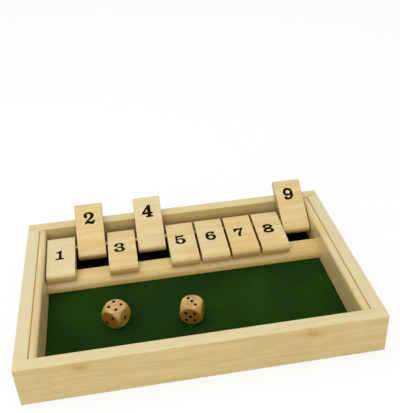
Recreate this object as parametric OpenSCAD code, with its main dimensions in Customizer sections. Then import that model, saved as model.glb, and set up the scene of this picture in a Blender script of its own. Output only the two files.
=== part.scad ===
// Nine-flap dice game in a shallow wooden tray. A raised bay along the back holds a
// steel rod with nine wooden flaps on it. Each flap lies shut on the rail in front of
// the rod, or is thrown over backwards and leans open against the back board.
// The origin is the centre of the box's footprint, at the surface it stands on.
// X runs to the right, Y to the back and Z up, in millimetres.

/* [Box] */
// Outer width of the box, left to right
box_w = 220; // [190:1:300]
// Outer depth of the box, front to back
box_d = 146.5; // [130:0.5:220]
// Height of the four boards
box_h = 28; // [26:0.5:38]
// Thickness of the four boards
board_t = 8.4; // [6:0.1:12]
// Rounding of the boards' edges
board_r = 0.8; // [0.2:0.1:2]

/* [Floor] */
// Height of the floor panel's underside above the table
panel_lift = 3.2; // [1.5:0.1:5]
// Thickness of the floor panel
panel_t = 3; // [2:0.1:4]
// Depth that the floor panel is let into the boards
groove_depth = 3; // [1.5:0.1:4.5]
// Thickness of the felt
felt_t = 0.8; // [0.4:0.1:1.5]

/* [Cheek strips] */
// Thickness of each strip that holds an end of the rod
cheek_t = 4.8; // [4:0.1:8]
// Rounding of a strip's inner top edge
cheek_r = 2.8; // [0.5:0.1:3.5]
// Distance of a strip's top below the boards' top
cheek_drop = 0.8; // [0.1:0.1:1.5]

/* [Rail] */
// Clear depth of the bay between the rail and the back board
bay_d = 35.8; // [35:0.1:42]
// Depth of the rail, front to back
rail_d = 13.8; // [10:0.1:18]
// Height of the rail above the felt
rail_h = 7.7; // [7:0.1:9]
// Rounding of the rail's front top edge
rail_r = 7.4; // [1:0.1:8.6]

/* [Rod] */
// Diameter of the rod
rod_d = 3; // [2:0.1:4]
// Distance of the rod's axis from the back board
rod_back = 17.4; // [14:0.1:18]
// Height of the rod's axis above the felt
rod_up = 13.3; // [12.8:0.1:15]
// Depth that each end of the rod enters its cheek strip
rod_bite = 3; // [1.5:0.1:3.5]

/* [Flaps] */
// Length of a flap
flap_len = 42.4; // [38:0.1:46]
// Thickness of a flap
flap_t = 7.6; // [5.5:0.1:8]
// Gap between two flaps
flap_gap = 1.5; // [0.6:0.1:4]
// Rounding of a flap's long edges
flap_r = 3.2; // [0.3:0.1:3.6]
// Distance of the bore's axis from a flap's short end
pivot_inset = 10.1; // [7:0.1:11]

/* [Dice] */
// Side of a die
die_side = 14; // [12:0.5:17]
// Diameter of the ball that the corners of a die are turned to
die_ball = 18.8; // [18:0.1:20]
// Diameter of a pip
pip_d = 2.2; // [1:0.1:3]
// Diameter of the single pip of the face with one
single_pip_d = 2.8; // [1:0.1:4]
// Depth of a pip
pip_depth = 0.7; // [0.3:0.1:1]
// Distance of the outer pips from a face's centre lines
pip_step = 2.8; // [2:0.05:3.2]

/* [Hidden] */
FLAPS = 9;
OPEN_FLAPS = [2, 4, 9];
$fn = 64;

// Clearances: panel in its groove, felt to the walls, rod in the flaps and in the
// cheeks, a resting flap to what it lies on, and a die to the felt
panel_slack = 0.1;
felt_trim = 0.3;
flap_play = 0.08;
rod_seat = 0.02;
rest_gap = 0.15;
die_gap = 0.05;
// Length that a cutting body runs past a face
over = 1;
// Least height that a large rounding leaves flat on an edge
edge_flat = 0.1;

// Levels and faces inside the box
panel_top = panel_lift + panel_t;
floor_z = panel_top + felt_t;
inner_x = box_w / 2 - board_t;
inner_y = box_d / 2 - board_t;
well_w = 2 * (inner_x - cheek_t);
rail_back_y = inner_y - bay_d;
rail_front_y = rail_back_y - rail_d;
rail_top = floor_z + rail_h;
tray_mid_y = (rail_front_y - inner_y) / 2;
panel_reach = groove_depth - panel_slack;

// The rail's front edge is a large round, and its back edge a small one
rail_round = min(rail_r, rail_h - edge_flat, rail_d - edge_flat);
rail_back_r = min(board_r, rail_d - rail_round);

// Flap row
rod_y = inner_y - rod_back;
rod_z = floor_z + rod_up;
flap_pitch = well_w / FLAPS;
flap_w = flap_pitch - flap_gap;
long_arm = flap_len - pivot_inset;

// Angle of an arm from the rod whose face just clears a rounded edge at distance d
function touch_angle(d, reach) = atan2(d[1], d[0]) + asin(reach / norm(d));

// A shut flap tips forward until it meets the front or the back edge of the rail
half_t = flap_t / 2;
flap_round = min(flap_r, half_t - edge_flat);
front_edge = [rod_y - rail_front_y - rail_round, rod_z - rail_top + rail_round];
back_edge = [rod_y - rail_back_y + rail_back_r, rod_z - rail_top + rail_back_r];
shut_tilt = min(
    touch_angle(front_edge, -(half_t + rail_round + rest_gap)),
    touch_angle(back_edge, -(half_t + rail_back_r + rest_gap))
);

// An open flap leans back until it meets the inner top edge of the back board
board_edge = [rod_back + board_r, box_h - board_r - rod_z];
open_lean = touch_angle(board_edge, half_t + board_r + rest_gap);

// Dice lie in the tray: each has a place from the tray's middle and a turn
die_left_at = [-51, 2.5];
die_left_turn = -38;
die_right_at = [-2.4, -3.4];
die_right_turn = -18;

// Rectangle from the origin whose two top corners have their own roundings
module board_outline(w, h, left_r, right_r) {
    intersection() {
        square([w, h]);
        union() {
            translate([left_r, 0]) square([w - left_r - right_r, h]);
            square([w, h - max(left_r, right_r)]);
            square([w / 2, h - left_r]);
            translate([left_r, h - left_r]) circle(left_r);
            translate([w - right_r, h - right_r]) circle(right_r);
        }
    }
}

// Outline in Y and Z, run along X and centred on it
module along_x(length) {
    translate([-length / 2, 0, 0]) rotate([90, 0, 90]) linear_extrude(length) children();
}

// Outline in X and Z, run along Y and centred on it
module along_y(length) {
    translate([0, length / 2, 0]) rotate([90, 0, 0]) linear_extrude(length) children();
}

// Space that the floor panel takes in the boards, with its slack
module panel_groove() {
    reach = 2 * groove_depth;
    translate([0, 0, panel_lift + (panel_t + panel_slack) / 2])
        cube([2 * inner_x + reach, 2 * inner_y + reach, panel_t + panel_slack], center = true);
}

module front_board() {
    color("#d8c48f")
        difference() {
            translate([0, -box_d / 2, 0]) along_x(box_w) board_outline(board_t, box_h, board_r, board_r);
            panel_groove();
        }
}

module back_board() {
    color("#d8c48f")
        difference() {
            translate([0, inner_y, 0]) along_x(box_w) board_outline(board_t, box_h, board_r, board_r);
            panel_groove();
        }
}

// Side board that stands between the front and the back board
module side_board(x) {
    color("#e0cd9b")
        difference() {
            translate([x, 0, 0]) along_y(2 * inner_y) board_outline(board_t, box_h, board_r, board_r);
            panel_groove();
        }
}

module left_board() {
    side_board(-box_w / 2);
}

module right_board() {
    side_board(inner_x);
}

module floor_panel() {
    color("#b89a62")
        translate([0, 0, panel_lift + panel_t / 2])
            cube([2 * (inner_x + panel_reach), 2 * (inner_y + panel_reach), panel_t], center = true);
}

module felt_sheet() {
    color("#1b3a12")
        translate([0, 0, panel_top + felt_t / 2])
            cube([well_w - 2 * felt_trim, 2 * (inner_y - felt_trim), felt_t], center = true);
}

// Left cheek strip with its blind seat for the rod; the right one is its mirror image
module cheek() {
    cheek_h = box_h - cheek_drop - panel_top;
    color("#dcc78f")
        difference() {
            translate([-inner_x, 0, panel_top])
                along_y(2 * inner_y) board_outline(cheek_t, cheek_h, board_r, cheek_r);
            translate([-well_w / 2 - rod_bite, rod_y, rod_z])
                rotate([0, 90, 0]) cylinder(r = rod_d / 2 + rod_seat, h = rod_bite + over);
        }
}

module left_cheek() {
    cheek();
}

module right_cheek() {
    mirror([1, 0, 0]) cheek();
}

module rail() {
    color("#dcc68c")
        translate([0, rail_front_y, floor_z])
            along_x(well_w) board_outline(rail_d, rail_h, rail_round, rail_back_r);
}

module rod() {
    rod_len = well_w + 2 * rod_bite;
    color("#c9c7c2")
        translate([-rod_len / 2, rod_y, rod_z]) rotate([0, 90, 0]) cylinder(d = rod_d, h = rod_len);
}

// Side view of a flap about its bore, with the short end towards the back
module flap_outline() {
    translate([-long_arm, -half_t + flap_round]) square([flap_len, flap_t - 2 * flap_round]);
    translate([-long_arm + flap_round, -half_t]) square([flap_len - 2 * flap_round, flap_t]);
    for (y = [-long_arm + flap_round, pivot_inset - flap_round], z = [-1, 1])
        translate([y, z * (half_t - flap_round)]) circle(flap_round);
}

module flap(n) {
    is_open = len(search(n, OPEN_FLAPS)) > 0;
    color("#e3d0a2")
        translate([(n - (FLAPS + 1) / 2) * flap_pitch, rod_y, rod_z])
            rotate([is_open ? open_lean - 180 : shut_tilt, 0, 0])
                difference() {
                    along_x(flap_w) flap_outline();
                    rotate([0, 90, 0])
                        cylinder(r = rod_d / 2 + flap_play, h = flap_w + 2 * over, center = true);
                }
}

// Places of the pips of a face, on a grid of three by three
function pip_places(n) = concat(
    n % 2 == 1 ? [[0, 0]] : [],
    n > 1 ? [[-1, 1], [1, -1]] : [],
    n > 3 ? [[1, 1], [-1, -1]] : [],
    n == 6 ? [[-1, 0], [1, 0]] : []
);

// Round dimples of one face, on the side that faces up
module pips(n) {
    rim_r = (n == 1 ? single_pip_d : pip_d) / 2;
    ball_r = (rim_r * rim_r + pip_depth * pip_depth) / (2 * pip_depth);
    for (p = pip_places(n))
        translate([p[0] * pip_step, p[1] * pip_step, die_side / 2 - pip_depth + ball_r])
            sphere(ball_r, $fn = 24);
}

// Die on the felt. The faces are top, front and right, and opposite faces add up to seven
module die(at, turn, top, front, right) {
    color("#c08a52")
        translate([at[0], tray_mid_y + at[1], floor_z + die_gap + die_side / 2])
            rotate([0, 0, turn])
                difference() {
                    intersection() {
                        cube(die_side, center = true);
                        sphere(d = die_ball);
                    }
                    pips(top);
                    rotate([180, 0, 0]) pips(7 - top);
                    rotate([90, 0, 0]) rotate([0, 0, 90]) pips(front);
                    rotate([-90, 0, 0]) rotate([0, 0, 90]) pips(7 - front);
                    rotate([0, 90, 0]) pips(right);
                    rotate([0, -90, 0]) pips(7 - right);
                }
}

module die_left() {
    die(die_left_at, die_left_turn, 4, 2, 1);
}

module die_right() {
    die(die_right_at, die_right_turn, 3, 5, 1);
}

front_board();
back_board();
left_board();
right_board();
floor_panel();
felt_sheet();
left_cheek();
right_cheek();
rail();
rod();
for (n = [1:FLAPS])
    flap(n);
die_left();
die_right();
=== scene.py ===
# Shut the box game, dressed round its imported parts: a shallow pine box with a felt floor,
# nine numbered flaps on a steel rod, and two wooden dice. Lengths are in metres, and a
# real size in millimetres is written as a count of MM.
import math

import bmesh
import bpy
from mathutils import Euler, Matrix, Vector, noise


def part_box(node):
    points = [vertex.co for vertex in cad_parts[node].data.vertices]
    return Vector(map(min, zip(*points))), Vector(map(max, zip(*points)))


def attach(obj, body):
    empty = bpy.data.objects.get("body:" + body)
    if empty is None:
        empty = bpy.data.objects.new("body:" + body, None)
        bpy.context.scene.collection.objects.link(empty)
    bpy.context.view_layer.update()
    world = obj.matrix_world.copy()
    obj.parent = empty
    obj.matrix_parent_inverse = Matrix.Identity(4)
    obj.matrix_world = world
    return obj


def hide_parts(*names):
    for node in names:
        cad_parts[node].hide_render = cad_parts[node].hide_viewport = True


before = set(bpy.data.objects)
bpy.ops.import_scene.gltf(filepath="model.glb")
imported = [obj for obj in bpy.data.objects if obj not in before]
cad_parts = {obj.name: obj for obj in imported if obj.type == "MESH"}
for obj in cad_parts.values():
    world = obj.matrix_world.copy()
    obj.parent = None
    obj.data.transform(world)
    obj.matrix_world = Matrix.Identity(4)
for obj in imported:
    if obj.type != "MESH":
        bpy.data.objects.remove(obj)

MM = 0.001
X, Y, Z = Vector((1, 0, 0)), Vector((0, 1, 0)), Vector((0, 0, 1))
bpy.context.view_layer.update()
scene = bpy.context.scene
scene.view_settings.view_transform = "Standard"

# Camera
# It looks down into the tray from the front and a little from the left, held slightly
# askew. The sensor's width lies along the picture's long side.
CAMERA_AZIMUTH = math.radians(-7.358)
CAMERA_ELEVATION = math.radians(32.855)
CAMERA_ROLL = math.radians(-3.065)
CAMERA_PLACE = Vector((-33.410, -334.484, 291.101)) * MM
CAMERA_LENS_MM = 55.470
CAMERA_SENSOR_MM = 36
CAMERA_NEAREST = 10 * MM

camera = bpy.data.objects.new("camera", bpy.data.cameras.new("camera"))
camera.data.lens = CAMERA_LENS_MM
camera.data.sensor_width = CAMERA_SENSOR_MM
camera.data.clip_start = CAMERA_NEAREST
scene.collection.objects.link(camera)
scene.camera = camera
aim = Euler((math.pi / 2 - CAMERA_ELEVATION, 0, CAMERA_AZIMUTH)).to_matrix()
camera.matrix_world = Matrix.Translation(CAMERA_PLACE) @ (
    aim @ Matrix.Rotation(CAMERA_ROLL, 3, "Z")
).to_4x4()

# Table and lamps
# A plain white table in an even white surround, with a wide soft box overhead, a little to
# the left and behind, and one low in front. The table looks white to the camera but keeps
# a part of the shadow.
WHITE = (1, 1, 1, 1)
TABLE_SIDE = 6.0
TABLE_GAP = 0.05 * MM
TABLE_SHADOW = 0.2
TABLE_BOUNCE = 0.65
SURROUND_LEVEL = 0.72
LAMP_SIDE = 0.8
# Place and watts of each lamp, which faces the origin
LAMPS = {"overhead": ((-0.26, 0.12, 0.95), 2.65), "front": ((-0.15, -0.95, 0.50), 2.75)}


def add(tree, kind, inputs=None, **settings):
    """One node, with its own settings. An input is a value, an output of another node, or
    another node, whose first output in use is then taken."""
    node = tree.nodes.new(kind)
    for name, value in settings.items():
        setattr(node, name, value)
    for socket, value in (inputs or {}).items():
        if isinstance(value, bpy.types.Node):
            value = next(output for output in value.outputs if output.enabled)
        if isinstance(value, bpy.types.NodeSocket):
            tree.links.new(value, node.inputs[socket])
        else:
            node.inputs[socket].default_value = value
    return node


def blank_material(name):
    """A material whose nodes are still to be added."""
    material = bpy.data.materials.new(name)
    material.use_nodes = True
    material.node_tree.nodes.clear()
    return material


def seen_directly(tree):
    """1 for a ray from the camera, and for one that shows the place in gloss or glass."""
    path = add(tree, "ShaderNodeLightPath")
    gloss = add(tree, "ShaderNodeMath", {
        0: path.outputs["Is Glossy Ray"], 1: path.outputs["Is Transmission Ray"],
    }, operation="MAXIMUM")
    return add(tree, "ShaderNodeMath", {
        0: path.outputs["Is Camera Ray"], 1: gloss,
    }, operation="MAXIMUM")


scene.world = bpy.data.worlds.new("surround")
scene.world.use_nodes = True
sky = scene.world.node_tree
sky.nodes.clear()
lit = add(sky, "ShaderNodeBackground", {"Color": WHITE, "Strength": SURROUND_LEVEL})
shown = add(sky, "ShaderNodeBackground", {"Color": WHITE, "Strength": 1.0})
both = add(sky, "ShaderNodeMixShader", {0: seen_directly(sky), 1: lit, 2: shown})
add(sky, "ShaderNodeOutputWorld", {"Surface": both})

# Matt white paint, which throws less light back at the game than the camera sees
table_paint = blank_material("white_table")
tree = table_paint.node_tree
seen = seen_directly(tree)
paint = add(tree, "ShaderNodeMapRange", {"Value": seen, "To Min": TABLE_BOUNCE, "To Max": 1.0})
matt = add(tree, "ShaderNodeBsdfDiffuse", {"Color": paint})
white = add(tree, "ShaderNodeEmission", {"Color": WHITE, "Strength": 1.0})
share = add(tree, "ShaderNodeMath", {0: seen, 1: 1 - TABLE_SHADOW}, operation="MULTIPLY")
blend = add(tree, "ShaderNodeMixShader", {0: share, 1: matt, 2: white})
add(tree, "ShaderNodeOutputMaterial", {"Surface": blend})

bm = bmesh.new()
bmesh.ops.create_grid(bm, size=TABLE_SIDE / 2, matrix=Matrix.Translation((0, 0, -TABLE_GAP)))
table = bpy.data.objects.new("table", bpy.data.meshes.new("table"))
bm.to_mesh(table.data)
bm.free()
table.data.materials.append(table_paint)
scene.collection.objects.link(table)

for name, (place, watts) in LAMPS.items():
    lamp = bpy.data.objects.new(name, bpy.data.lights.new(name, "AREA"))
    lamp.data.size = LAMP_SIDE
    lamp.data.energy = watts
    lamp.location = place
    lamp.rotation_mode = "QUATERNION"
    lamp.rotation_quaternion = (-Vector(place)).to_track_quat("-Z", "Y")
    scene.collection.objects.link(lamp)

# The four boards
# Planed and lacquered pine, 8.4 mm thick. The front and back boards run the full width and
# the side boards are glued between them. All four are grooved inside for the floor, and
# the edges were eased after gluing, so the joints show as hairlines only.
EASE_TOP = 0.8 * MM
EASE_FOOT = 0.5 * MM
GROOVE_SLACK = 0.1 * MM
# An edge no further than this from a face is taken as lying on it
CLOSE = 0.12 * MM
# Least cosine at which an edge is taken as running along an axis
ALONG = 0.9
SHARP_ANGLE = math.radians(40)
# Distance along the fibres between the stretches that different pieces are sawn from
LOG_STRETCH_MM = 700
TRUNK_WANDER_MM = 7
# Length along the fibres and width of each pattern's patches in mm, and how fine they go.
# Streaks are drawn some ten times as wide as real fibres so that they show
WANDER = (70, 28, 2.0)
STREAKS = (22, 0.5, 3.0)
BANDS = (75, 4.5, 2.0)
RESIN = (30, 1.1, 0.0)
CLOUDS = (60, 18, 1.0)
MOTTLE = (16, 7, 1.0)
# Changes of the rings' spacing for each ring, and how many rings they shift the pattern by
RING_CHANGES = 0.45
RING_SHIFT = 1.6
# How dark the wood is part way through each ring, which starts and ends pale
RING_SHADES = ((0.45, 0.16), (0.86, 1.0))
PINE_RING_MM = 5.0
PINE_CONTRAST = 0.3
PINE_ROUGHNESS = 0.42
PINE_PALE = "#DEC98A"
PINE_LATE = "#C3A454"
PINE_WARM = "#D0B267"
# Pale colour of pale-toned pieces, also used as the painted highlight on level faces
PALE_TONE_AND_HIGHLIGHT = "#DCD0A6"
# The painted highlight on level faces goes as this power of how level they are, so only level ones get it
LEVEL_POWER = 5
# Painted highlight on the side boards' level faces
SIDES_LEVEL_HIGHLIGHT = 0.8
# Middle and radius of each knot on the front board's face, in mm
KNOTS_AT = [(Vector((-72.8, -73.2, 23.4)), 2.2), (Vector((62.9, -73.2, 22.9)), 2.5)]
KNOT_BROWN = "#BF9632"
KNOT_DEPTH = 0.85
# A knot's length in its widths, and how far it pushes the rings aside in its radii
KNOT_LONG = 1.5
KNOT_PUSH = 1.2


def block(lo, hi):
    """Square-cut block between two corners."""
    bm = bmesh.new()
    bmesh.ops.create_cube(bm, size=1)
    bmesh.ops.scale(bm, vec=hi - lo, verts=bm.verts)
    bmesh.ops.translate(bm, vec=(lo + hi) / 2, verts=bm.verts)
    return bm


def along(way, axis):
    """Whether an edge with this direction runs along the axis."""
    return abs(way.dot(axis)) > ALONG


def ease(bm, radius, segments, chosen):
    """Rounds the edges that are chosen by their middle and their direction."""
    edges = []
    for edge in bm.edges:
        a, b = (v.co for v in edge.verts)
        if chosen((a + b) / 2, (b - a).normalized()):
            edges.append(edge)
    bmesh.ops.bevel(
        bm, geom=edges, offset=radius, offset_type="OFFSET", segments=segments,
        affect="EDGES", profile=0.5, material=-1,
    )


def cut_out(bm, tool):
    """Cuts the closed shape tool out of bm, and frees the tool. The cut faces keep the
    tool's material slots, which is why both shapes get two empty ones."""
    pair = []
    for shape in (bm, tool):
        mesh = bpy.data.meshes.new("blank")
        shape.to_mesh(mesh)
        for _ in range(2):
            mesh.materials.append(None)
        pair.append(bpy.data.objects.new("blank", mesh))
        scene.collection.objects.link(pair[-1])
    tool.free()
    cut = pair[0].modifiers.new("cut", "BOOLEAN")
    cut.operation = "DIFFERENCE"
    cut.solver = "EXACT"
    cut.object = pair[1]
    graph = bpy.context.evaluated_depsgraph_get()
    left = bpy.data.meshes.new_from_object(pair[0].evaluated_get(graph))
    bm.clear()
    bm.from_mesh(left)
    for mesh in [left] + [o.data for o in pair]:
        bpy.data.meshes.remove(mesh)


def finish_piece(name, bm, materials, body, node, place=None, grain=None):
    """Makes the piece, and lets it ride on its body in the place of its CAD node."""
    mesh = bpy.data.meshes.new(name)
    bmesh.ops.recalc_face_normals(bm, faces=bm.faces)
    bm.to_mesh(mesh)
    bm.free()
    if grain:
        lay_in_log(mesh, **grain)
    if place:
        mesh.transform(place)
    for material in materials:
        mesh.materials.append(material)
    mesh.shade_smooth()
    mesh.set_sharp_from_angle(angle=SHARP_ANGLE)
    piece = bpy.data.objects.new(name, mesh)
    scene.collection.objects.link(piece)
    # Flat faces stay evenly lit right up to their eased edges
    flats = piece.modifiers.new("level flats", "WEIGHTED_NORMAL")
    flats.weight = 100
    flats.keep_sharp = True
    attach(piece, body)
    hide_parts(node)
    return piece


def lay_in_log(mesh, fibre, heart, log_no, tone=0.0, level_highlight=0.0, back_shade=0.0):
    """Gives each point its place in the log that the piece was sawn from, in mm: first along
    the fibres, then across from the heart. Also stores the tone, from pale at -1 through
    golden at 1 to deep at 2, which is paler on level faces by the level highlight, a painted
    highlight, and deeper on the back by the back shade, painted shade, and how squarely faces cut the
    fibres."""
    side = fibre.orthogonal().normalized()
    up = fibre.cross(side)
    log = mesh.attributes.new("log", "FLOAT_VECTOR", "POINT")
    for point, vertex in zip(log.data, mesh.vertices):
        p = (vertex.co - heart) / MM
        point.vector = (p.dot(fibre) + log_no * LOG_STRETCH_MM, p.dot(side), p.dot(up))
    shade = mesh.attributes.new("tone", "FLOAT", "CORNER")
    end = mesh.attributes.new("end_grain_and_gap_shade", "FLOAT", "CORNER")
    for face in mesh.polygons:
        level = abs(face.normal.z) ** LEVEL_POWER
        # Level faces are paler by a painted highlight, and faces towards the back deeper by painted shade
        face_tone = tone - level_highlight * level + back_shade * max(0, face.normal.y)
        for corner in face.loop_indices:
            shade.data[corner].value = face_tone
            end.data[corner].value = abs(face.normal.dot(fibre))


def linear(code):
    """Linear colour of an sRGB hex code, with full alpha."""
    parts = [int(code[i:i + 2], 16) / 255 for i in (1, 3, 5)]
    return [c / 12.92 if c <= 0.04045 else ((c + 0.055) / 1.055) ** 2.4 for c in parts] + [1.0]


def wood(name, pale, late, warm, ring_mm, contrast, roughness, knots=(), coat=(0.8, 0.3), deep=None):
    """Lacquered wood, cut from a log whose rings lie round the first axis of "log". pale and
    late are its spring and summer wood, warm its golden bands, and deep the colour of cut
    fibres, dark enough to paint shade as well, and of tones past 1, which are mostly painted
    shade. coat is the lacquer's weight and roughness."""
    deep = deep or late
    material = blank_material(name)
    tree = material.node_tree
    place = add(tree, "ShaderNodeAttribute", attribute_name="log").outputs["Vector"]
    tone = add(tree, "ShaderNodeAttribute", attribute_name="tone").outputs["Fac"]
    end_grain_and_gap_shade = add(tree, "ShaderNodeAttribute", attribute_name="end_grain_and_gap_shade").outputs["Fac"]

    def patches(source, long, wide, detail):
        """Noise in patches so many millimetres long, along the fibres, and so many wide."""
        drawn_out = add(tree, "ShaderNodeVectorMath", {
            0: source, 1: (long, wide, wide),
        }, operation="DIVIDE")
        return add(tree, "ShaderNodeTexNoise", {"Vector": drawn_out, "Scale": 1.0, "Detail": detail})

    def laid(colour, code, most, value, lo=0.0, hi=1.0):
        """The colour with another laid over it, from nothing where value is lo to the share
        most where it is hi."""
        share = add(tree, "ShaderNodeMapRange", {
            "Value": value, "From Min": lo, "From Max": hi, "To Max": most,
        })
        return add(tree, "ShaderNodeMix", {0: share, 6: colour, 7: linear(code)}, data_type="RGBA")

    # The trunk wanders by a few millimetres over a hand's length
    wander = add(tree, "ShaderNodeVectorMath", {
        0: patches(place, *WANDER).outputs["Color"], 1: (0.5, 0.5, 0.5),
    }, operation="SUBTRACT")
    bent = add(tree, "ShaderNodeVectorMath", {
        0: wander, 1: (0, TRUNK_WANDER_MM, TRUNK_WANDER_MM), 2: place,
    }, operation="MULTIPLY_ADD")
    crosswise = add(tree, "ShaderNodeVectorMath", {0: bent, 1: (0, 1, 1)}, operation="MULTIPLY")
    from_heart = add(tree, "ShaderNodeVectorMath", {0: crosswise}, operation="LENGTH")

    # Each knot fades out from its middle and pushes the rings aside round it
    knot_share = 0.0
    for centre, radius in knots:
        apart = add(tree, "ShaderNodeVectorMath", {0: place, 1: centre}, operation="SUBTRACT")
        apart = add(tree, "ShaderNodeVectorMath", {
            0: apart, 1: (KNOT_LONG * radius, radius, radius),
        }, operation="DIVIDE")
        squared = add(tree, "ShaderNodeVectorMath", {0: apart, 1: apart}, operation="DOT_PRODUCT")
        falling = add(tree, "ShaderNodeMath", {0: squared, 1: -0.5}, operation="MULTIPLY")
        near = add(tree, "ShaderNodeMath", {0: falling}, operation="EXPONENT")
        from_heart = add(tree, "ShaderNodeMath", {
            0: near, 1: KNOT_PUSH * radius, 2: from_heart,
        }, operation="MULTIPLY_ADD")
        knot_share = add(tree, "ShaderNodeMath", {0: near, 1: knot_share}, operation="MAXIMUM")

    # Rings of uneven width: pale spring wood darkens slowly to summer wood and ends at once
    slowly = add(tree, "ShaderNodeMath", {
        0: from_heart, 1: RING_CHANGES / ring_mm,
    }, operation="MULTIPLY")
    uneven = add(tree, "ShaderNodeTexNoise", {
        "W": slowly, "Scale": 1.0, "Detail": 1.0,
    }, noise_dimensions="1D")
    even = add(tree, "ShaderNodeMath", {0: from_heart, 1: ring_mm}, operation="DIVIDE")
    turns = add(tree, "ShaderNodeMath", {0: uneven, 1: RING_SHIFT, 2: even}, operation="MULTIPLY_ADD")
    season = add(tree, "ShaderNodeMath", {0: turns}, operation="FRACT")
    ring = add(tree, "ShaderNodeValToRGB", {"Fac": season})
    stops = ring.color_ramp.elements
    for through, grey in RING_SHADES:
        stops.new(through).color = (grey, grey, grey, 1)
    stops[-1].color = (0, 0, 0, 1)

    # Fibres show as fine streaks and soft bands, with a few darker lines of resin, and paler
    # clouds and golden mottle lie over them
    streak = patches(bent, *STREAKS)
    band = patches(bent, *BANDS)
    resin = patches(bent, *RESIN)
    cloud = patches(place, *CLOUDS)
    mottle = patches(place, *MOTTLE)

    banded = add(tree, "ShaderNodeMapRange", {
        "Value": band, "From Min": 0.35, "From Max": 0.7, "To Max": 0.75,
    })
    toned = add(tree, "ShaderNodeMapRange", {"Value": tone, "To Max": 0.5})
    golden = add(tree, "ShaderNodeMath", {0: banded, 1: toned}, operation="ADD")
    colour = laid(linear(pale), late, contrast, ring)
    colour = laid(colour, warm, 1.0, golden)
    colour = laid(colour, pale, 0.35, cloud, lo=0.3, hi=0.7)
    colour = laid(colour, warm, 0.6, mottle, lo=0.5, hi=0.72)
    colour = laid(colour, late, 0.5, resin, lo=0.62, hi=0.78)
    # Negative tones take the pale colour, for pale pieces and as the painted highlight on level faces;
    # tones past 1, which are mostly painted shade, take the deep colour
    colour = laid(colour, PALE_TONE_AND_HIGHLIGHT, 0.8, tone, lo=0.0, hi=-1.0)
    colour = laid(colour, deep, 0.6, tone, lo=1.0, hi=2.0)
    brightness = add(tree, "ShaderNodeMapRange", {
        "Value": streak, "From Min": 0.25, "From Max": 0.75, "To Min": 0.955, "To Max": 1.035,
    })
    colour = add(tree, "ShaderNodeMix", {
        0: 1.0, 6: colour, 7: brightness,
    }, data_type="RGBA", blend_type="MULTIPLY")
    colour = laid(colour, KNOT_BROWN, KNOT_DEPTH, knot_share)
    # Faces that cut the fibres take the deep colour: end grain is darker, and drawn this dark it also
    # paints the shade in gaps, such as between the flaps
    colour = laid(colour, deep, 0.59, end_grain_and_gap_shade, lo=0.6, hi=1.0)

    height = add(tree, "ShaderNodeMath", {0: ring, 1: -0.5, 2: streak}, operation="MULTIPLY_ADD")
    relief = add(tree, "ShaderNodeBump", {"Height": height, "Strength": 0.25, "Distance": 0.06 * MM})
    rough = add(tree, "ShaderNodeMapRange", {
        "Value": streak, "From Min": 0.2, "From Max": 0.8,
        "To Min": roughness - 0.05, "To Max": roughness + 0.08,
    })
    surface = add(tree, "ShaderNodeBsdfPrincipled", {
        "Base Color": colour, "Roughness": rough, "IOR": 1.5, "Coat Weight": coat[0],
        "Coat Roughness": coat[1], "Normal": relief,
    })
    add(tree, "ShaderNodeOutputMaterial", {"Surface": surface})
    return material


def into_log(point_mm, fibre, heart):
    """The place in the log of a point given in the frame's millimetres."""
    side = fibre.orthogonal().normalized()
    p = point_mm - heart / MM
    return (p.dot(fibre), p.dot(side), p.dot(fibre.cross(side)))


panel_lo, panel_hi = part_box("floor_panel")
slack = Vector((0, 0, GROOVE_SLACK))
inner_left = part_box("left_board")[1].x
inner_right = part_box("right_board")[0].x
front_heart = Vector((0, -30, -42)) * MM

# Planed pine under a satin lacquer: pale straw with soft honey bands, and with faint
# golden knots on the front board
pine = wood(
    "lacquered_pine", PINE_PALE, PINE_LATE, PINE_WARM,
    ring_mm=PINE_RING_MM, contrast=PINE_CONTRAST, roughness=PINE_ROUGHNESS,
)
knotty_pine = wood(
    "lacquered_knotty_pine", PINE_PALE, PINE_LATE, PINE_WARM,
    ring_mm=PINE_RING_MM, contrast=PINE_CONTRAST, roughness=PINE_ROUGHNESS,
    knots=[(into_log(at, X, front_heart), radius) for at, radius in KNOTS_AT],
)


def long_board(node, material, heart, tone, level_highlight, log_no, inwards):
    """Front or back board. inwards is the direction of the tray along Y."""
    lo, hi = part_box(node)
    bm = block(lo, hi)
    for x in (inner_left, inner_right):
        parts = bm.verts[:] + bm.edges[:] + bm.faces[:]
        bmesh.ops.bisect_plane(bm, geom=parts, plane_co=(x, 0, 0), plane_no=X)
    middle = (lo + hi) / 2
    end_x = hi.x - CLOSE

    def inner(at):
        return (at.y - middle.y) * inwards > 0

    def at_joint(at):
        """Whether the end of a side board is glued there."""
        return inner(at) and not inner_left < at.x < inner_right

    ease(bm, EASE_TOP, 4, lambda at, way: along(way, X) and at.z > middle.z and not at_joint(at))
    ease(bm, EASE_TOP, 4, lambda at, way: along(way, Z) and not inner(at) and abs(at.x) > end_x)
    ease(bm, EASE_TOP, 4, lambda at, way: along(way, Y) and at.z > middle.z and abs(at.x) > end_x)
    ease(bm, EASE_FOOT, 3, lambda at, way: along(way, X) and at.z < lo.z + CLOSE)
    cut_out(bm, block(panel_lo, panel_hi + slack))
    finish_piece(
        node + "_pine", bm, [material], "box", node,
        grain={"fibre": X, "heart": heart, "tone": tone, "log_no": log_no, "level_highlight": level_highlight},
    )


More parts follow.
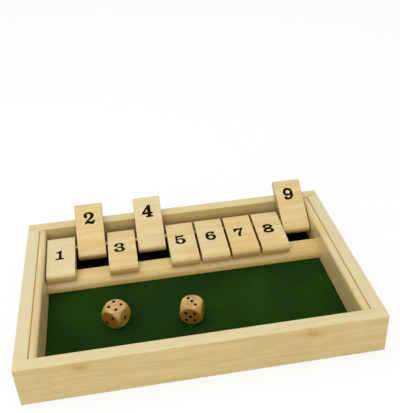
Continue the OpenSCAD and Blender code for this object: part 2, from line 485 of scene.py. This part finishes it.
def side_board(node, heart, tone, log_no):
    """Left or right board, between the front and the back board."""
    lo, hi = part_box(node)
    bm = block(lo, hi)
    middle = (lo + hi) / 2
    ease(bm, EASE_TOP, 4, lambda at, way: along(way, Y) and at.z > middle.z)
    ease(bm, EASE_FOOT, 3, lambda at, way: along(way, Y) and at.z < middle.z)
    cut_out(bm, block(panel_lo, panel_hi + slack))
    finish_piece(
        node + "_pine", bm, [pine], "box", node,
        grain={"fibre": Y, "heart": heart, "tone": tone, "log_no": log_no, "level_highlight": SIDES_LEVEL_HIGHLIGHT},
    )


back_heart = Vector((0, 140, -20)) * MM
# Each board's level faces are paler than its other faces by a painted highlight
long_board("front_board", knotty_pine, front_heart, tone=0.45, level_highlight=1.05, log_no=0, inwards=1)
long_board("back_board", pine, back_heart, tone=0.3, level_highlight=0.5, log_no=2, inwards=-1)
side_board("left_board", Vector((-60, 0, -40)) * MM, tone=0.0, log_no=3)
side_board("right_board", Vector((60, 0, -60)) * MM, tone=0.1, log_no=5)

# Floor panel
# A 3 mm sheet of pale plywood, let into grooves in the four boards and not glued. Only its
# underside shows, when the box is turned over.

# Birch plywood under a thin lacquer: pale tan, with the broad figure of peeled veneer
plywood = wood(
    "birch_plywood", "#D9C096", "#C3A270", "#CDAF7E", ring_mm=9.0, contrast=0.5, roughness=0.6,
)
finish_piece(
    "floor_panel_plywood", block(panel_lo, panel_hi), [plywood], "box", "floor_panel",
    grain={"fibre": X, "heart": Vector((0, 20, -30)) * MM, "tone": 0.2, "log_no": 7},
)

# Felt
# One sheet of dark green wool felt, 0.8 mm thick, glued flat to the whole floor and cut
# with a knife, so its edges are a little ragged and its face is slightly uneven.
FELT_CELL = 1.0 * MM
FELT_UNEVEN = 0.05 * MM
FELT_RAGGED = 0.12 * MM
FELT_CLUMP = 3.0 * MM
FELT_FUZZ = 0.7 * MM
FELT_CLOUD = 30 * MM
FELT_DARK = "#13290A"
FELT_LIGHT = "#214112"
FELT_SHEEN = "#5C8A3A"
# Painted shade: colour of the felt under the rail and in the bay behind it
FELT_BAY_PAINTED_SHADE = "#080605"
FELT_SEED = 1

felt_lo, felt_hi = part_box("felt_sheet")
felt_size = felt_hi - felt_lo
bm = bmesh.new()
bmesh.ops.create_grid(
    bm, x_segments=round(felt_size.x / FELT_CELL), y_segments=round(felt_size.y / FELT_CELL),
    size=0.5,
)
trimmed = (felt_size.x - 2 * FELT_RAGGED, felt_size.y - 2 * FELT_RAGGED, 1)
bmesh.ops.scale(bm, vec=trimmed, verts=bm.verts)
middle = (felt_lo + felt_hi) / 2
# Without a seed noise_vector starts from the clock, and each run would give another rim
noise.seed_set(FELT_SEED)
for vertex in bm.verts:
    rim = FELT_RAGGED if vertex.is_boundary else 0
    wobble = noise.noise_vector(vertex.co / FELT_CLUMP)
    vertex.co += Vector((wobble.x * rim, wobble.y * rim, wobble.z * FELT_UNEVEN))
    vertex.co += Vector((middle.x, middle.y, felt_hi.z - FELT_UNEVEN))
bmesh.ops.solidify(bm, geom=bm.faces[:], thickness=felt_size.z - 2 * FELT_UNEVEN)

# Wool felt: a matt, slightly clouded green with a soft sheen from its loose fibres, which
# are drawn coarser than real ones so that they show. It turns almost black under the rail
# and stays so in the bay behind it: painted shade, for the shade of the rail and the flaps
felt_wool = blank_material("green_wool_felt")
tree = felt_wool.node_tree
spot = add(tree, "ShaderNodeTexCoord").outputs["Object"]
fuzz = add(tree, "ShaderNodeTexNoise", {"Vector": spot, "Scale": 1 / FELT_FUZZ, "Detail": 4.0})
cloud = add(tree, "ShaderNodeTexNoise", {"Vector": spot, "Scale": 1 / FELT_CLOUD, "Detail": 2.0})
share = add(tree, "ShaderNodeMath", {0: fuzz, 1: 0.6}, operation="MULTIPLY")
share = add(tree, "ShaderNodeMath", {0: cloud, 1: 0.5, 2: share}, operation="MULTIPLY_ADD")
share = add(tree, "ShaderNodeMapRange", {"Value": share, "From Min": 0.35, "From Max": 0.75})
green = add(tree, "ShaderNodeMix", {
    0: share, 6: linear(FELT_DARK), 7: linear(FELT_LIGHT),
}, data_type="RGBA")
rail_lo, rail_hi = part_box("rail")
# Painted shade: none at the rail's front, full at its back and in the whole bay
bay_shade_share = add(tree, "ShaderNodeMapRange", {
    "Value": add(tree, "ShaderNodeSeparateXYZ", {0: spot}).outputs["Y"],
    "From Min": rail_lo.y, "From Max": rail_hi.y,
})
green = add(tree, "ShaderNodeMix", {
    0: bay_shade_share, 6: green, 7: linear(FELT_BAY_PAINTED_SHADE),
}, data_type="RGBA")
nap = add(tree, "ShaderNodeBump", {"Height": fuzz, "Strength": 0.6, "Distance": 0.15 * MM})
surface = add(tree, "ShaderNodeBsdfPrincipled", {
    "Base Color": green, "Roughness": 0.95, "Specular IOR Level": 0.03,
    "Sheen Weight": 0.05, "Sheen Roughness": 0.5, "Sheen Tint": linear(FELT_SHEEN),
    "Normal": nap,
})
add(tree, "ShaderNodeOutputMaterial", {"Surface": surface})

felt = finish_piece("felt", bm, [felt_wool], "box", "felt_sheet")

# Cheek strips
# Two pine strips stand against the side boards and hold the ends of the rod in blind
# holes. The inner top edge has a large round, and the strips stop 0.8 mm below the boards.
CHEEK_ROUND = 2.8 * MM
ROD_SEAT = 0.02 * MM
BORE_SIDES = 64

# Planed pine under a satin lacquer, a little more golden than the boards
strip_pine = wood(
    "lacquered_pine_strip", "#DFC67C", "#C49E4C", "#D2AE5E",
    ring_mm=4.0, contrast=PINE_CONTRAST, roughness=PINE_ROUGHNESS,
)
rod_lo, rod_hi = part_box("rod")
rod_y, rod_z = (rod_lo.y + rod_hi.y) / 2, (rod_lo.z + rod_hi.z) / 2
rod_r = (rod_hi.z - rod_lo.z) / 2


def drill(length, radius, at):
    """Round body along X, to cut a bore with."""
    bm = bmesh.new()
    bmesh.ops.create_cone(
        bm, cap_ends=True, segments=BORE_SIDES, radius1=radius, radius2=radius, depth=length,
        matrix=Matrix.Translation(at) @ Matrix.Rotation(math.pi / 2, 4, "Y"),
    )
    return bm


for node, log_no in (("left_cheek", 8), ("right_cheek", 9)):
    lo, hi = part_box(node)
    middle = (lo + hi) / 2
    outwards = math.copysign(1, middle.x)
    bm = block(lo, hi)
    for radius, segments, way_out in ((EASE_TOP, 4, outwards), (CHEEK_ROUND, 8, -outwards)):
        ease(bm, radius, segments, lambda at, way: (
            along(way, Y) and at.z > middle.z and (at.x - middle.x) * way_out > 0
        ))
    cut_out(bm, drill(rod_hi.x - rod_lo.x, rod_r + ROD_SEAT, (0, rod_y, rod_z)))
    # The strips' level faces get a faint painted highlight
    finish_piece(
        node + "_strip", bm, [strip_pine], "box", node,
        grain={
            "fibre": Y, "heart": Vector((outwards * 40, 0, -20)) * MM, "tone": -0.35,
            "log_no": log_no, "level_highlight": 0.1,
        },
    )

# Rail
# A pine strip glued on the felt between the cheeks. The shut flaps rest on it, and its
# front top edge is a large quarter round.
RAIL_ROUND = 7.4 * MM
RAIL_FOOT = 0.3 * MM

middle = (rail_lo + rail_hi) / 2
bm = block(rail_lo, rail_hi)
ease(bm, RAIL_ROUND, 14, lambda at, way: along(way, X) and at.z > middle.z and at.y < middle.y)
ease(bm, EASE_TOP, 4, lambda at, way: (
    along(way, X) and at.z > middle.z and at.y > rail_hi.y - CLOSE
))
ease(bm, RAIL_FOOT, 3, lambda at, way: (
    along(way, X) and at.z < rail_lo.z + CLOSE and at.y < middle.y
))
finish_piece(
    "rail_strip", bm, [strip_pine], "box", "rail",
    grain={"fibre": X, "heart": Vector((0, 60, -30)) * MM, "tone": 0.4, "log_no": 11},
)

# Rod
# A 3 mm bright drawn steel rod through all nine flaps, pushed into the cheek strips. It
# is the CAD node itself, with fine drawing lines along its length.
DRAWN_LINE_LONG = 25 * MM
DRAWN_LINE_WIDE = 0.125 * MM

# Bright drawn steel: a warm grey gloss with lines along the rod from the die that it was
# drawn through, coarser than real ones so that they show
steel = blank_material("bright_drawn_steel")
tree = steel.node_tree
spot = add(tree, "ShaderNodeTexCoord").outputs["Object"]
drawn_out = add(tree, "ShaderNodeVectorMath", {
    0: spot, 1: (DRAWN_LINE_LONG, DRAWN_LINE_WIDE, DRAWN_LINE_WIDE),
}, operation="DIVIDE")
lines = add(tree, "ShaderNodeTexNoise", {"Vector": drawn_out, "Scale": 1.0, "Detail": 2.0})
rough = add(tree, "ShaderNodeMapRange", {"Value": lines, "To Min": 0.18, "To Max": 0.38})
score = add(tree, "ShaderNodeBump", {"Height": lines, "Strength": 0.2, "Distance": 0.01 * MM})
shade = add(tree, "ShaderNodeMix", {
    0: lines, 6: linear("#776C5C"), 7: linear("#978A76"),
}, data_type="RGBA")
surface = add(tree, "ShaderNodeBsdfPrincipled", {
    "Base Color": shade, "Metallic": 1.0, "Roughness": rough, "Normal": score,
})
add(tree, "ShaderNodeOutputMaterial", {"Surface": surface})
rod_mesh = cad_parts["rod"].data
if rod_mesh.materials:
    rod_mesh.materials[0] = steel
else:
    rod_mesh.materials.append(steel)

# Flaps
# Nine blocks cut from one moulded pine strip, so the grain runs across each of them. The
# long edges are rounded, the sawn edges hardly broken, and a bore takes the rod. Each is
# modelled flat about its bore, with its long arm towards the front, and then swung.
FLAP_ROUND = 3.2 * MM
FLAP_SAWN_EDGE = 0.45 * MM
FLAP_PLAY = 0.08 * MM
FLAP_LENGTH = 42.4 * MM
FLAP_THICK = 7.6 * MM
SHORT_ARM = 10.1 * MM
# How golden each flap is, from pale at -1 to golden at 1
FLAP_TONES = {1: -0.6, 2: 0.8, 3: 0.2, 4: -0.3, 5: 0.0, 6: -0.2, 7: 0.7, 8: 0.2, 9: -0.1}
# Painted shade on each flap's ends and sides, by which their tone is deeper than the level faces'
FLAP_END_SHADE = 0.8
# More painted shade on each flap's short end
FLAP_SHORT_END_SHADE = 0.6
# Up and a little to the front: the side in view of a shut flap and of an open one faces it
UP_FRONT = Vector((0, -0.5, 1))

# Moulded pine under a satin lacquer: narrow faint rings, and a golden brown end grain, which
# also paints the shade in the gaps between flaps, as the deep colour also does on their ends
flap_pine = wood(
    "lacquered_moulded_pine", "#DFCA8E", "#C9A75A", "#D4AF5C",
    ring_mm=2.6, contrast=0.18, roughness=0.4, deep="#8A6414",
)


def flat_side(node, towards):
    """Way that the node's largest flat side on that side of it faces."""
    sides = {}
    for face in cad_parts[node].data.polygons:
        way = tuple(round(c, 3) for c in face.normal)
        sides[way] = sides.get(way, 0) + face.area
    return Vector(max(sides, key=lambda way: sides[way] * Vector(way).dot(towards))).normalized()


def swing(n):
    """Place of a flap: its swing about the rod, as the CAD node lies. An open flap lies
    behind the rod and shows its underside."""
    lo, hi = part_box(f"flap_{n}")
    flat = flat_side(f"flap_{n}", UP_FRONT)
    angle = math.atan2(-flat.y, flat.z)
    if (lo.y + hi.y) / 2 > rod_y:
        angle -= math.pi
    return Matrix.Translation(((lo.x + hi.x) / 2, rod_y, rod_z)) @ Matrix.Rotation(angle, 4, "X")


# The flaps come from three depths of the log in turn
flap_lo, flap_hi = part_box("flap_1")
flap_half = (flap_hi.x - flap_lo.x) / 2
for n, tone in FLAP_TONES.items():
    lo = Vector((-flap_half, SHORT_ARM - FLAP_LENGTH, -FLAP_THICK / 2))
    hi = Vector((flap_half, SHORT_ARM, FLAP_THICK / 2))
    bm = block(lo, hi)
    ease(bm, FLAP_ROUND, 8, lambda at, way: along(way, X))
    ease(bm, FLAP_SAWN_EDGE, 2, lambda at, way: not along(way, X) and abs(at.x) > flap_half - CLOSE)
    cut_out(bm, drill(4 * flap_half, rod_r + FLAP_PLAY, (0, 0, 0)))
    # The tone is raised on all faces and taken back on level ones, so painted shade lies on the ends and
    # sides, and more of it on the short end
    finish_piece(
        f"flap_{n}_wood", bm, [flap_pine], f"flap_{n}_body", f"flap_{n}", place=swing(n),
        grain={
            "fibre": X, "heart": Vector((0, 12, -26 - 4 * (n % 3))) * MM, "tone": tone + FLAP_END_SHADE,
            "log_no": 12 + n, "level_highlight": FLAP_END_SHADE, "back_shade": FLAP_SHORT_END_SHADE,
        },
    )

# Numbers
# Each flap has its number on both faces, printed in near-black ink and reading from the
# front whichever way the flap lies. The figures are bold, with slab feet and ball ends.
INK_THICK = 0.04 * MM
INK_SUNK = 0.01 * MM
FIGURE_HEIGHT = 9.8 * MM
FIGURE_WIDEN = 1.04
# Distance of each figure's middle to the right of its flap's middle, in mm
FIGURE_ASIDE = {1: -0.9, 2: 0.2, 3: -1.8, 4: -0.3, 5: -1.1, 6: -0.5, 7: -1.1, 8: -0.8, 9: -0.7}
# Distance of the figure's middle from the rod, on the face that shows when shut and open
FIGURE_SHUT_AT = 10.7 * MM
FIGURE_OPEN_AT = 20.0 * MM
S, C = "AUTO", "VECTOR"
# Outlines in hundredths of the height, as smooth points S and corners C. The outer ones run
# anticlockwise and the holes clockwise, so the ink can spread by the same width on all
INK_SPREAD = 1.0
FIGURES = {
    1: [[
        (2, 0, C), (59, 0, C), (59, 12, C), (50, 14, S), (43, 21, C), (43, 100, C), (35, 100, C),
        (23, 91, S), (8, 86, C), (8, 73, C), (16, 71, S), (26, 73, C), (26, 21, C), (18, 14, S), (2, 12, C),
    ]],
    2: [[
        (7, 0, C), (16, 6, S), (27, 9, S), (42, 4, S), (56, 0, S), (73, 8, S), (79, 34, C), (70, 35, C),
        (62, 25, S), (50, 23, S), (39, 25, S), (31, 26, C), (47, 38, S), (65, 51, S), (74, 70, S),
        (66, 90, S), (39, 100, S), (12, 92, S), (1, 73, S), (5, 59, S), (14, 53, S), (24, 60, S),
        (25, 71, S), (22, 79, S), (27, 86, S), (37, 87, S), (48, 81, S), (50, 70, S), (45, 57, S),
        (29, 41, S), (11, 21, S), (5, 6, S),
    ]],
    3: [[
        (2, 75, S), (5, 65, S), (14, 62, S), (22, 67, S), (25, 77, S), (28, 84, S), (36, 87, S),
        (45, 84, S), (50, 75, S), (46, 63, S), (34, 58, S), (24, 58, C), (24, 45, C), (34, 45, S),
        (48, 41, S), (53, 29, S), (49, 18, S), (36, 14, S), (26, 18, S), (24, 26, S), (23, 35, S),
        (14, 40, S), (5, 37, S), (0, 26, S), (10, 8, S), (36, 0, S), (65, 8, S), (75, 28, S), (69, 46, S),
        (55, 54, C), (65, 62, S), (71, 76, S), (62, 93, S), (36, 100, S), (10, 91, S),
    ]],
    4: [[
        (27, 0, C), (78, 0, C), (78, 11, C), (68, 13, S), (64, 18, C), (64, 25, C), (77, 25, C),
        (77, 40, C), (64, 40, C), (64, 100, C), (47, 100, C), (0, 38, C), (0, 25, C), (41, 25, C),
        (41, 18, C), (36, 13, S), (27, 11, C),
    ], [(19, 40, C), (41, 69, C), (41, 40, C)]],
    5: [[
        (5, 99, C), (5, 43, C), (14, 43, C), (20, 49, S), (33, 53, S), (47, 48, S), (54, 33, S),
        (48, 19, S), (36, 13, S), (27, 17, S), (24, 25, S), (23, 34, S), (14, 40, S), (5, 37, S),
        (0, 25, S), (10, 8, S), (35, 0, S), (64, 8, S), (75, 33, S), (64, 57, S), (37, 65, S), (19, 62, C),
        (20, 79, C), (31, 78, S), (48, 79, S), (63, 85, S), (66, 100, C), (45, 97, S), (22, 97, S),
    ]],
    6: [[
        (38, 0, S), (62, 9, S), (73, 34, S), (65, 57, S), (42, 66, S), (20, 61, C), (24, 75, S),
        (34, 85, S), (43, 83, S), (50, 74, S), (61, 72, S), (69, 82, S), (61, 95, S), (42, 100, S),
        (11, 86, S), (0, 45, S), (11, 11, S),
    ], [(37, 52, S), (54, 34, S), (37, 18, S), (20, 34, S)]],
    7: [[
        (0, 58, C), (11, 58, C), (16, 69, S), (27, 76, S), (39, 76, S), (50, 74, C), (36, 56, S),
        (26, 28, S), (26, 0, C), (42, 0, C), (44, 28, S), (53, 56, S), (65, 84, S), (68, 100, C),
        (59, 100, C), (53, 95, S), (40, 94, S), (24, 97, S), (14, 95, C), (8, 97, C), (0, 97, C),
    ]],
    8: [[
        (38, 0, S), (67, 7, S), (78, 26, S), (73, 42, S), (60, 51, S), (69, 61, S), (73, 76, S),
        (63, 93, S), (38, 100, S), (13, 93, S), (3, 76, S), (7, 61, S), (16, 51, S), (5, 42, S), (0, 26, S),
        (10, 7, S),
    ], [
        (38, 63, S), (21, 71, S), (38, 80, S), (55, 71, S),
    ], [
        (38, 39, S), (56, 28, S), (38, 18, S), (20, 28, S),
    ]],
}
# The nine is the six turned upside down
SIX_WIDE = 73
FIGURES[9] = [[(SIX_WIDE - x, 100 - y, kind) for x, y, kind in outline] for outline in FIGURES[6]]

# Screen-printed ink, black-brown and slightly thin in places over the grain
INK_BLOT = 0.8 * MM
ink = blank_material("printed_ink")
tree = ink.node_tree
spot = add(tree, "ShaderNodeTexCoord").outputs["Object"]
thin = add(tree, "ShaderNodeTexNoise", {"Vector": spot, "Scale": 1 / INK_BLOT, "Detail": 3.0})
shade = add(tree, "ShaderNodeMix", {
    0: thin, 6: linear("#0C0701"), 7: linear("#221705"),
}, data_type="RGBA")
surface = add(tree, "ShaderNodeBsdfPrincipled", {
    "Base Color": shade, "Roughness": 0.7, "Specular IOR Level": 0.04,
})
add(tree, "ShaderNodeOutputMaterial", {"Surface": surface})


def figure(n):
    """Mesh of a number, lying flat with its middle at the origin."""
    curve = bpy.data.curves.new("figure", "CURVE")
    curve.dimensions = "2D"
    curve.fill_mode = "BOTH"
    curve.resolution_u = 6
    curve.extrude = INK_THICK / 2
    curve.offset = INK_SPREAD
    for outline in FIGURES[n]:
        spline = curve.splines.new("BEZIER")
        spline.bezier_points.add(len(outline) - 1)
        spline.use_cyclic_u = True
        for point, (x, y, kind) in zip(spline.bezier_points, outline):
            point.co = (x, y, 0)
            point.handle_left_type = point.handle_right_type = kind
    drawn = bpy.data.objects.new("figure", curve)
    mesh = bpy.data.meshes.new_from_object(drawn)
    bpy.data.objects.remove(drawn)
    xs, ys = ([v.co[i] for v in mesh.vertices] for i in (0, 1))
    left, right, low, high = min(xs), max(xs), min(ys), max(ys)
    scale = FIGURE_HEIGHT / (high - low)
    centred = Matrix.Translation((-(left + right) / 2, -(low + high) / 2, 0))
    mesh.transform(Matrix.Diagonal((scale * FIGURE_WIDEN, scale, 1, 1)) @ centred)
    return mesh


lift = FLAP_THICK / 2 + INK_THICK / 2 - INK_SUNK
for n in FLAP_TONES:
    aside = FIGURE_ASIDE[n] * MM
    faces = {
        "shut": Matrix.Translation((aside, -FIGURE_SHUT_AT, lift)),
        "open": Matrix.Translation((aside, -FIGURE_OPEN_AT, -lift)) @ Matrix.Rotation(math.pi, 4, "X"),
    }
    for face, place in faces.items():
        mesh = figure(n)
        mesh.transform(swing(n) @ place)
        mesh.materials.append(ink)
        number = bpy.data.objects.new(f"number_{n}_{face}", mesh)
        scene.collection.objects.link(number)
        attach(number, f"flap_{n}_body")

# Dice
# Two 14 mm dice of a warm brown hardwood. Cubes were tumbled until their corners are
# parts of a ball and the edges of the flat faces are soft, and the pips are burnt in.
DIE_BALL = 18.8 * MM
DIE_CUTS = 40
DIE_SOFTEN = 12
# Tones of a die's ball, top and upright flats, which paint a highlight on the top and shade on
# the upright flats, and the painted shade added round an upright flat's rim and low on the ball,
# and how much the blotches add
BALL_TONE = 0.2
TOP_HIGHLIGHT_TONE = 0.05
UPRIGHT_FLAT_SHADE_TONE = 0.75
RIM_PAINTED_SHADE = 0.9
LOW_PAINTED_SHADE = 1.3
BLOTCH = 0.9
BLOTCH_WIDE = 2.2 * MM
RIM_WIDE = 0.9 * MM
# Depth below a flat face over which its tone passes into the ball's
FLAT_BLEND = 0.45 * MM
# Heights over the die's middle, in halves of its size: the ball's painted shade deepens below
# the first, and the rims' painted shade fades out at the second
LOW_FROM = 0.5
RIM_ENDS = -0.4
PIP_R = 1.1 * MM
SINGLE_PIP_R = 1.4 * MM
PIP_DEPTH = 0.7 * MM
PIP_STEP = 2.8 * MM
PIP_SEGMENTS = 24
PIP_RINGS = 16
PIP_GRID = {
    1: [(0, 0)],
    2: [(-1, 1), (1, -1)],
    3: [(-1, 1), (0, 0), (1, -1)],
    4: [(-1, 1), (1, -1), (1, 1), (-1, -1)],
    5: [(-1, 1), (1, -1), (1, 1), (-1, -1), (0, 0)],
    6: [(-1, 1), (1, -1), (1, 1), (-1, -1), (-1, 0), (1, 0)],
}
# Numbers on the top, front and right faces. Opposite faces add up to seven
DICE = {"die_left": (4, 2, 1), "die_right": (3, 5, 1)}

# Tumbled hardwood under a glossy wax: a golden brown, deepened by each die's painted shade
dice_wood = wood(
    "tumbled_dice_hardwood", "#C6A553", "#966C14", "#AA7A08",
    ring_mm=1.6, contrast=0.45, roughness=0.35, coat=(0.6, 0.16), deep="#7A4A00",
)

# Burnt pips: charred wood, black-brown and matt
CHAR_GRIT = 0.4 * MM
char = blank_material("burnt_pip")
tree = char.node_tree
spot = add(tree, "ShaderNodeTexCoord").outputs["Object"]
grit = add(tree, "ShaderNodeTexNoise", {"Vector": spot, "Scale": 1 / CHAR_GRIT, "Detail": 3.0})
shade = add(tree, "ShaderNodeMix", {
    0: grit, 6: linear("#160902"), 7: linear("#2E1708"),
}, data_type="RGBA")
surface = add(tree, "ShaderNodeBsdfPrincipled", {
    "Base Color": shade, "Roughness": 0.85, "Specular IOR Level": 0.02,
})
add(tree, "ShaderNodeOutputMaterial", {"Surface": surface})


def paint_die_light_and_shade(piece, place, half):
    """Tones of a die: pale on the upper ball and the top flat, golden below and on the upright
    flats, and deep round the rims of these, most near the top. This is a painted highlight above
    and painted shade below and on the upright sides, and random blotches lie over it all."""
    mesh, back = piece.data, place.inverted()
    rim = math.sqrt((DIE_BALL / 2) ** 2 - half ** 2)
    for face in mesh.polygons:
        for corner, index in zip(face.loop_indices, face.vertices):
            at = back @ mesh.vertices[index].co
            reach = max(abs(c) for c in at)
            off_axis = math.sqrt(max(0, at.length_squared - reach ** 2))
            height = at.z / half
            # Painted shade deepens the ball towards the bottom
            tone = BALL_TONE + LOW_PAINTED_SHADE * min(1, max(0, LOW_FROM - height))
            if abs(at.z) == reach:
                flat_tone = TOP_HIGHLIGHT_TONE
            else:
                near_rim = math.exp(-((off_axis - rim) / RIM_WIDE) ** 2)
                # Painted shade round an upright flat's rim, deepest near the top
                flat_tone = UPRIGHT_FLAT_SHADE_TONE + RIM_PAINTED_SHADE * near_rim * max(0, height - RIM_ENDS)
            tone += (flat_tone - tone) * max(0, 1 - (half - reach) / FLAT_BLEND)
            tone += BLOTCH * noise.noise(at / BLOTCH_WIDE)
            mesh.attributes["tone"].data[corner].value = tone


def pip_balls(number, turn, half):
    """Balls that cut the pips of one face, which turn brings from the top."""
    rim = SINGLE_PIP_R if number == 1 else PIP_R
    ball = (rim ** 2 + PIP_DEPTH ** 2) / (2 * PIP_DEPTH)
    for right, up in PIP_GRID[number]:
        at = turn @ Vector((right * PIP_STEP, up * PIP_STEP, half - PIP_DEPTH + ball))
        yield at, ball


quarter = math.pi / 2
on_top = Matrix.Identity(3)
on_front = Matrix.Rotation(quarter, 3, "X") @ Matrix.Rotation(quarter, 3, "Z")
on_right = Matrix.Rotation(quarter, 3, "Y")
over = Matrix.Rotation(math.pi, 3, "X")
behind = Matrix.Rotation(math.pi, 3, "Z")
for node, (top, front, right) in DICE.items():
    lo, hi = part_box(node)
    half = (hi.z - lo.z) / 2
    side = flat_side(node, -Y)
    turn = math.atan2(side.x, -side.y)
    bm = bmesh.new()
    bmesh.ops.create_cube(bm, size=2 * half)
    bmesh.ops.subdivide_edges(bm, edges=bm.edges[:], cuts=DIE_CUTS, use_grid_fill=True)
    for vertex in bm.verts:
        vertex.co *= min(1, DIE_BALL / 2 / vertex.co.length)
    for _ in range(DIE_SOFTEN):
        bmesh.ops.smooth_vert(
            bm, verts=bm.verts, factor=0.5, use_axis_x=True, use_axis_y=True, use_axis_z=True,
        )
    tool = bmesh.new()
    for number, way in (
        (top, on_top), (7 - top, over @ on_top), (front, on_front), (7 - front, behind @ on_front),
        (right, on_right), (7 - right, behind @ on_right),
    ):
        for at, ball in pip_balls(number, way, half):
            bmesh.ops.create_uvsphere(
                tool, u_segments=PIP_SEGMENTS, v_segments=PIP_RINGS, radius=ball,
                matrix=Matrix.Translation(at),
            )
    for face in tool.faces:
        face.material_index = 1
    cut_out(bm, tool)
    place = Matrix.Translation((lo + hi) / 2) @ Matrix.Rotation(turn, 4, "Z")
    die = finish_piece(
        node + "_wood", bm, [dice_wood, char], node + "_body", node, place=place,
        grain={"fibre": Y, "heart": Vector((9, 0, -7)) * MM, "log_no": 30 + top},
    )
    paint_die_light_and_shade(die, place, half)
